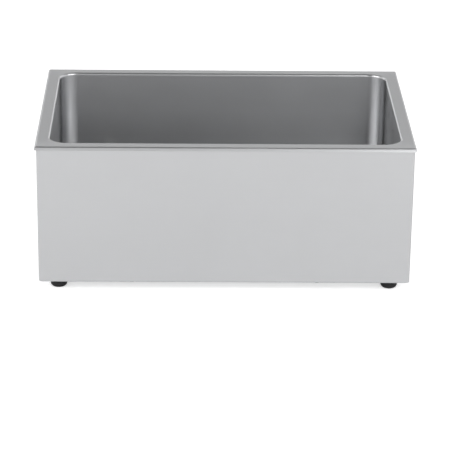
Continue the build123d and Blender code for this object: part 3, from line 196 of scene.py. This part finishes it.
def new_material(name, **sockets):
    """A material with a Principled surface, its graph and that shader."""
    material = bpy.data.materials.new(name)
    material.use_nodes = True
    g = Graph(material.node_tree)
    shader = next(node for node in material.node_tree.nodes if node.type == "BSDF_PRINCIPLED")
    for key, value in sockets.items():
        shader.inputs[key.replace("_", " ").title().replace("Ior", "IOR")].default_value = value
    return material, g, shader


def on_short_strip(g, x, y):
    """1 on the rim's two end strips, which are brushed front to back between the long ones."""
    beyond = g.math("GREATER_THAN", g.math("ABSOLUTE", x), WELL_HALF_LENGTH)
    off_centre = g.math("ABSOLUTE", g.math("SUBTRACT", y, RIM_MIDDLE_Y))
    between = g.math("LESS_THAN", off_centre, WELL_HALF_WIDTH)
    return g.math("MULTIPLY", beyond, between)


def no_short_strip(g, x, y):
    """0 everywhere, for a sheet whose level faces are all brushed from end to end."""
    return 0.0


def drawn_out(g, place, steepness, front_to_back):
    """The position drawn out along the grain, which is level on the walls."""
    x, y, z = g.split(place)
    level = g.math("GREATER_THAN", steepness, LEVEL_FACE)
    across_x = g.math("MULTIPLY", level, front_to_back)
    across_y = g.math("SUBTRACT", level, across_x)
    return g.join(
        g.math("MULTIPLY", x, g.ramp(across_x, 0.0, 1.0, ALONG_GRAIN, ACROSS_GRAIN)),
        g.math("MULTIPLY", y, g.ramp(across_y, 0.0, 1.0, ALONG_GRAIN, ACROSS_GRAIN)),
        g.math("MULTIPLY", z, ACROSS_GRAIN),
    )


def across_grain(g, normal, steepness, front_to_back):
    """The way the highlight spreads: across the grain, turning over in the bend from wall to level."""
    level_grain = g.mix(front_to_back, (1.0, 0.0, 0.0), (0.0, 1.0, 0.0), "VECTOR")
    wall_grain = g.vector("CROSS_PRODUCT", normal, (0.0, 0.0, 1.0))
    # The small addition keeps the sign from being 0 where the two are square to each other
    agreement = g.math("ADD", g.vector("DOT_PRODUCT", level_grain, wall_grain), 0.001)
    wall_grain = g.scale(wall_grain, g.math("SIGN", agreement))
    along = g.mix(g.ramp(steepness, 0.75, 0.97), wall_grain, level_grain, "VECTOR")
    return g.vector("NORMALIZE", g.vector("CROSS_PRODUCT", normal, along))


def dulled_below(g, height, cloud, painted_shade_height):
    """1 above the given height and a little less below it, along a wavering edge: the factor for painted
    shade.
    """
    waver, half_edge, below = 3 * MM, 20 * MM, 0.86
    wavering = g.math("ADD", height, g.spread(cloud, -waver, waver))
    return g.ramp(wavering, painted_shade_height - half_edge, painted_shade_height + half_edge, below, 1.0)


def brushed_sheet(name, colour, roughness, anisotropy, depth, contrast=1.0, short_strip=no_short_strip,
                  painted_shade_height=None):
    """Brushed stainless sheet: the grain is level on the walls, and runs along each strip of a level face.
    Below a given height its colour is painted a little darker, as painted shade."""
    material, g, shader = new_material(name, metallic=1.0, anisotropic=anisotropy,
                                       specular_tint=GRAZING_TINT)
    place = g.place()
    x, y, z = g.split(place)
    normal = g.add("ShaderNodeNewGeometry").outputs["Normal"]
    steepness = g.math("ABSOLUTE", g.split(normal)[2])
    front_to_back = short_strip(g, x, y)
    scratches, bumped = use(g, GRAIN, drawn_out=drawn_out(g, place, steepness, front_to_back), depth=depth)
    cloud = use(g, CLOUDS, place=place)[0]
    streak = 0.013 * contrast
    patch = 0.012
    shade = g.math("ADD", g.spread(scratches, -streak, streak), g.spread(cloud, 1 - patch, 1 + patch))
    if painted_shade_height is not None:
        # Painted shade: the colour is darkened a little below the given height
        shade = g.math("MULTIPLY", shade, dulled_below(g, z, cloud, painted_shade_height))
    patchy = g.spread(cloud, roughness - patch, roughness + patch)
    g.feed(shader.inputs["Base Color"], g.scale(colour, shade))
    g.feed(shader.inputs["Roughness"], g.math("ADD", g.spread(scratches, -streak, streak), patchy))
    g.feed(shader.inputs["Normal"], bumped)
    g.feed(shader.inputs["Tangent"], across_grain(g, normal, steepness, front_to_back))
    return material


def plated(name, colour, roughness, spangle=0.0):
    """Zinc, nickel, brass and other bright metals, with faint clouds and, where galvanised, its spangle."""
    material, g, shader = new_material(name, metallic=1.0)
    place = g.place()
    cloud = g.noise(place, 120.0, 3.0, 0.6)
    crystal = g.split(g.add("ShaderNodeTexVoronoi", {"Vector": place, "Scale": 90.0}).outputs["Color"])[0]
    dull = g.math("ADD", g.spread(cloud, 0.92, 1.0), g.math("MULTIPLY", crystal, -0.28 * spangle))
    mixed = g.math("ADD", cloud, g.math("MULTIPLY", crystal, spangle))
    ripple = g.noise(place, 900.0)
    ripple_height = 0.1 * MM
    g.feed(shader.inputs["Base Color"], g.scale(colour, dull))
    g.feed(shader.inputs["Roughness"], g.ramp(mixed, 0.3, 1.0, roughness - 0.05, roughness + 0.10))
    g.feed(shader.inputs["Normal"], g.bump(ripple, 0.12, ripple_height))
    return material


def moulded(name, colour, roughness, scale=1800.0, depth=0.15, variation=0.12, **sockets):
    """Plastic, rubber and resin with a moulded skin and slight variation."""
    material, g, shader = new_material(name, **sockets)
    value, bumped = use(g, SKIN, place=g.place(), scale=scale, depth=depth)
    dark = tuple(part * (1 - variation) for part in colour) + (1.0,)
    light = tuple(min(1.0, part * (1 + variation) + 0.004) for part in colour) + (1.0,)
    g.feed(shader.inputs["Base Color"], g.mix(g.spread(value), dark, light))
    g.feed(shader.inputs["Roughness"], g.spread(value, roughness - 0.05, roughness + 0.07))
    g.feed(shader.inputs["Normal"], bumped)
    return material


def fibrous(name, colour):
    """Mineral wool: matted fibres that lie flat."""
    material, g, shader = new_material(name, roughness=0.95)
    place = g.place()
    fibres = g.noise(g.vector("MULTIPLY", place, (90.0, 90.0, 700.0)), 1.0, 4.0, 0.7)
    matted = g.math("MULTIPLY", fibres, g.noise(place, 40.0, 3.0))
    fibre_height = 1.5 * MM
    g.feed(shader.inputs["Base Color"], g.scale(colour, g.ramp(matted, 0.1, 0.4, 0.55, 1.0)))
    g.feed(shader.inputs["Normal"], g.bump(fibres, 0.8, fibre_height))
    return material


def dress(material, *names):
    """Gives the named nodes this material alone."""
    for name in names:
        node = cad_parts[name]
        node.data.materials.clear()
        node.data.materials.append(material)


def dress_sheet_metal():
    # The well's colour carries painted shade: a little darker below the height set at the top
    well_steel = brushed_sheet("well_steel", (0.61, 0.615, 0.625), 0.305, 0.82, 0.08, contrast=0.8,
                               short_strip=on_short_strip, painted_shade_height=PAINTED_SHADE_HEIGHT)
    dress(well_steel, "well_tank")
    dress(brushed_sheet("casing_steel", (0.605, 0.61, 0.62), 0.315, 0.75, 0.10), "outer_casing")
    dress(brushed_sheet("panel_steel", (0.60, 0.605, 0.61), 0.34, 0.75, 0.12), "rear_panel")
    galvanised = plated("galvanised_sheet", (0.60, 0.62, 0.63), 0.42, spangle=0.5)
    dress(galvanised, "base_plate", "controls_shield", "clamp_bars")
    dress(plated("rolled_aluminium", (0.78, 0.79, 0.80), 0.34), "heat_spreader", "dial_plate")


def dress_fittings():
    zinc = plated("zinc_plating", (0.66, 0.67, 0.66), 0.30)
    dress(zinc, "rim_fixings", "base_screws", "foot_washers", "foot_fixings", "element_pins", "clamp_fixings",
          "thermostat_shaft", "thermostat_screws", "cutout_nut", "inlet_fixings", "lever_nut", "drain_lever")
    bright = plated("bright_steel", (0.68, 0.67, 0.66), 0.24)
    dress(bright, "rear_panel_screws", "bulb_clips", "drain_fitting", "drain_strainer", "drain_pipe",
          "valve_stem")
    dress(plated("nickel_plating", (0.72, 0.70, 0.66), 0.20), "valve_body", "hose_tail")
    dress(plated("polished_steel", (0.80, 0.80, 0.79), 0.10), "valve_ball")
    brass = plated("brass", (0.78, 0.58, 0.28), 0.28)
    dress(brass, "drain_locknut", "drain_elbow", "packing_nut", "earth_stud", "inlet_pins", "spade_terminals")
    dress(plated("copper", (0.82, 0.44, 0.29), 0.30), "sensing_bulb")
    dress(plated("oxidised_sheath", (0.24, 0.21, 0.19), 0.45), "heating_element")


def dress_moulded():
    rubber = moulded("foot_rubber", (0.010, 0.010, 0.011), 0.32, scale=1500.0, depth=0.10, variation=0.3,
                     specular_ior_level=0.3)
    dress(rubber, "foot_front_left", "foot_front_right", "foot_rear_left", "foot_rear_right", "drain_grommet")
    dress(moulded("silicone_rubber", (0.45, 0.06, 0.04), 0.5), "drain_gasket")
    dress(fibrous("mineral_wool", (0.62, 0.58, 0.42)), "wall_insulation", "base_insulation")
    phenolic = moulded("phenolic_resin", (0.035, 0.028, 0.025), 0.42, scale=900.0, depth=0.3)
    dress(phenolic, "thermostat_body", "cutout_body")
    nylon = moulded("black_nylon", (0.022, 0.022, 0.024), 0.36)
    dress(nylon, "switch_housing", "lamp_housings", "appliance_inlet")
    dress(moulded("knob_plastic", (0.02, 0.02, 0.022), 0.30, scale=2200.0, depth=0.10), "thermostat_knob")
    dress(moulded("white_inlay", (0.85, 0.85, 0.83), 0.4), "knob_pointer", "valve_seats")
    dress(moulded("red_button_plastic", (0.50, 0.02, 0.015), 0.28), "reset_button")
    dress(moulded("rocker_plastic", (0.48, 0.02, 0.015), 0.22, coat_weight=0.4), "switch_rocker")
    dress(moulded("red_lens", (0.60, 0.02, 0.012), 0.12, coat_weight=0.6), "power_lamp_lens")
    dress(moulded("amber_lens", (0.85, 0.28, 0.02), 0.12, coat_weight=0.6), "heating_lamp_lens")
    dress(moulded("cream_resin", (0.70, 0.64, 0.48), 0.5), "terminal_block")
    dress(moulded("wire_sheath", (0.42, 0.05, 0.03), 0.45), "wiring")
    dress(moulded("grip_vinyl", (0.48, 0.02, 0.016), 0.35, scale=1300.0, depth=0.2), "lever_grip")


def new_piece(name, mesh, material, body):
    """A mesh of the scene's own that rides on a body."""
    piece = bpy.data.objects.new(name, mesh)
    bpy.context.scene.collection.objects.link(piece)
    mesh.materials.clear()
    mesh.materials.append(material)
    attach(piece, body)


def rectangle(x_low, x_high, y_low, y_high):
    """The corners of a rectangle given in millimetres."""
    corners = ((x_low, y_low), (x_high, y_low), (x_high, y_high), (x_low, y_high))
    return [(x * MM, y * MM) for x, y in corners]


def add_slab(bm, outline, placing, thickness):
    """A thin printed shape: a flat outline raised by its thickness."""
    low = [bm.verts.new(placing @ Vector((x, y, 0.0))) for x, y in outline]
    high = [bm.verts.new(placing @ Vector((x, y, thickness))) for x, y in outline]
    count = len(outline)
    bm.faces.new(high)
    bm.faces.new(list(reversed(low)))
    for i in range(count):
        j = (i + 1) % count
        bm.faces.new((low[i], low[j], high[j], high[i]))


def add_ring(bm, outer, inner, placing, thickness, steps=40):
    """A thin printed ring."""
    rows = []
    for radius, height in ((inner, 0.0), (outer, 0.0), (outer, thickness), (inner, thickness)):
        row = []
        for i in range(steps):
            angle = 2 * math.pi * i / steps
            point = Vector((radius * math.cos(angle), radius * math.sin(angle), height))
            row.append(bm.verts.new(placing @ point))
        rows.append(row)
    for low, high in zip(rows, rows[1:] + rows[:1]):
        for i in range(steps):
            j = (i + 1) % steps
            bm.faces.new((low[i], low[j], high[j], high[i]))


def text_mesh(text, size, thickness):
    """A number as a closed mesh, centred on the origin."""
    curve = bpy.data.curves.new("number", "FONT")
    curve.body = text
    curve.size = size
    curve.extrude = thickness / 2
    curve.align_x, curve.align_y = "CENTER", "CENTER"
    curve.resolution_u = 4
    holder = bpy.data.objects.new("number", curve)
    bpy.context.scene.collection.objects.link(holder)
    bpy.context.view_layer.update()
    mesh = bpy.data.meshes.new_from_object(holder.evaluated_get(bpy.context.evaluated_depsgraph_get()))
    bpy.data.objects.remove(holder)
    bpy.data.curves.remove(curve)
    return mesh


def closed_mesh(bm, name):
    """The finished mesh of some marks, with its faces turned outwards."""
    marks = bpy.data.meshes.new(name)
    bmesh.ops.recalc_face_normals(bm, faces=bm.faces)
    bm.to_mesh(marks)
    bm.free()
    return marks


def facing_back(x, y, z):
    """The frame of a mark on the rear panel: its X runs to the reader's right, its Z out of the panel."""
    turn = Matrix(((-1, 0, 0, 0), (0, 0, 1, 0), (0, 1, 0, 0), (0, 0, 0, 1)))
    return Matrix.Translation((x, y, z)) @ turn


def dial_marks(ink):
    """Ten numbers, each with a tick, over the knob's 270 degrees. The first stands at the top."""
    tick = rectangle(21.6, 23.0, -0.25, 0.25)
    number_radius, number_size = 25.4 * MM, 3.9 * MM
    first_angle, angle_step = 90, 30
    print_depth = 0.06 * MM
    centre = (dial_low + dial_high) / 2
    plate = facing_back(centre.x, dial_high.y, centre.z)
    bm = bmesh.new()
    for number in range(10):
        angle = math.radians(first_angle - angle_step * number)
        add_slab(bm, tick, plate @ Matrix.Rotation(angle, 4, "Z"), print_depth)
        outward = Vector((math.cos(angle), math.sin(angle), 0.0))
        spot = number_radius * outward + Vector((0.0, 0.0, print_depth / 2))
        mesh = text_mesh(str(number), number_size, print_depth)
        mesh.transform(plate @ Matrix.Translation(spot))
        bm.from_mesh(mesh)
        bpy.data.meshes.remove(mesh)
    new_piece("dial_marks", closed_mesh(bm, "dial_marks"), ink, "warmer")


def rocker_marks(paint):
    """A bar and a ring, one on each half of the rocker, which rests with its lower half pressed in."""
    bar = rectangle(-0.5, 0.5, -2.2, 2.2)
    ring_outer, ring_inner = 2.3 * MM, 1.5 * MM
    print_depth = 0.08 * MM
    rest_tilt = math.radians(10)
    half_height, middle_out, end_out = 10.2 * MM, 1.6 * MM, 3.2 * MM
    slope = math.atan2(end_out - middle_out, half_height)
    centre = (switch_low + switch_high) / 2
    pivot = Matrix.Translation((centre.x, REAR_FACE, centre.z)) @ Matrix.Rotation(-rest_tilt, 4, "X")
    bm = bmesh.new()
    for side in (1, -1):
        half_middle = Matrix.Translation((0, (middle_out + end_out) / 2, side * half_height / 2))
        placing = pivot @ half_middle @ Matrix.Rotation(-side * slope, 4, "X") @ facing_back(0, 0, 0)
        if side > 0:
            add_slab(bm, bar, placing, print_depth)
        else:
            add_ring(bm, ring_outer, ring_inner, placing, print_depth)
    new_piece("rocker_marks", closed_mesh(bm, "rocker_marks"), paint, "rocker")


def white_floor():
    """A plain pale floor that the camera sees as white, with the lamps' shadows on it."""
    half, camera_glow, mirrored_glow = 30.0, 0.56, 0.07
    mesh = bpy.data.meshes.new("floor")
    corners = [(-half, -half, 0), (half, -half, 0), (half, half, 0), (-half, half, 0)]
    mesh.from_pydata(corners, [], [(0, 1, 2, 3)])
    floor = bpy.data.objects.new("floor", mesh)
    bpy.context.scene.collection.objects.link(floor)
    material, g, shader = new_material("floor_white", roughness=0.9, specular_ior_level=0.0,
                                       emission_color=WHITE)
    cloud = g.noise(g.place(), 3.0, 2.0)
    g.feed(shader.inputs["Base Color"], g.scale((1.0, 1.0, 1.0), g.ramp(cloud, 0.0, 1.0, 0.84, 0.86)))
    path = g.add("ShaderNodeLightPath").outputs
    seen = g.math("MULTIPLY", path["Is Camera Ray"], camera_glow)
    in_surface = g.math("MAXIMUM", path["Is Glossy Ray"], path["Is Transmission Ray"])
    mirrored = g.math("MULTIPLY", in_surface, mirrored_glow)
    g.feed(shader.inputs["Emission Strength"], g.math("MAXIMUM", seen, mirrored))
    mesh.materials.append(material)


def studio_sky():
    """Soft light from walls all round. The wall in front is bright low down. The wall behind has a bright
    band along the floor and another half way up, with a dim stretch between them. Overhead is faint, and
    the camera sees plain white. Heights are the upright part of a direction."""
    front_glow, floor_band, dim_stretch, high_band, overhead = 1.07, 2.4, 0.52, 1.7, 0.15
    world = bpy.data.worlds.new("studio")
    bpy.context.scene.world = world
    world.use_nodes = True
    g = Graph(world.node_tree)
    direction = g.split(g.add("ShaderNodeTexCoord").outputs["Generated"])
    depth, height = direction[1], direction[2]
    front = g.ramp(height, 0.32, 0.54, front_glow, overhead)
    low_wall = g.ramp(height, 0.08, 0.28, floor_band, dim_stretch)
    high_wall = g.ramp(height, 0.44, 0.52, dim_stretch, high_band)
    wall = g.math("MAXIMUM", low_wall, high_wall)
    behind = g.mix(g.ramp(height, 0.58, 0.70), wall, overhead, "FLOAT")
    glow = g.mix(g.ramp(depth, -0.25, 0.25), front, behind, "FLOAT")
    glow = g.math("MAXIMUM", glow, g.add("ShaderNodeLightPath").outputs["Is Camera Ray"])
    background = next(node for node in world.node_tree.nodes if node.type == "BACKGROUND")
    g.feed(background.inputs["Color"], g.join(glow, glow, glow))


def softbox(name, place, radiance, width=3.8, height=2.1):
    """A wide lamp aimed at the warmer."""
    lamp = bpy.data.lights.new(name, "AREA")
    lamp.shape = "RECTANGLE"
    lamp.size, lamp.size_y = width, height
    lamp.energy = radiance * math.pi * width * height
    holder = bpy.data.objects.new(name, lamp)
    bpy.context.scene.collection.objects.link(holder)
    holder.location = place
    warmer_middle = Vector((0.0, 0.0, 0.1))
    aim = warmer_middle - Vector(place)
    holder.rotation_euler = aim.to_track_quat("-Z", "Y").to_euler()


def build_camera():
    """The camera as solved from the rim's and the casing's corners."""
    data = bpy.data.cameras.new("camera")
    camera = bpy.data.objects.new("camera", data)
    bpy.context.scene.collection.objects.link(camera)
    data.sensor_width = 36.0
    data.lens = 175.84
    camera.location = (-0.0561, -3.1933, 1.3285)
    camera.rotation_euler = [math.radians(angle) for angle in (67.7465, -0.6442, -0.8124)]
    data.clip_start, data.clip_end = 0.05, 200
    bpy.context.scene.camera = camera


dress_sheet_metal()
dress_fittings()
dress_moulded()
dial_marks(moulded("dial_ink", (0.02, 0.02, 0.02), 0.5))
rocker_marks(moulded("rocker_paint", (0.82, 0.82, 0.80), 0.45))
white_floor()
studio_sky()
softbox("left_softbox", (-2.6, -2.1, 2.6), radiance=3.5)
softbox("right_softbox", (2.1, -2.5, 2.6), radiance=3.1)
build_camera()
bpy.context.scene.view_settings.view_transform = "Standard"
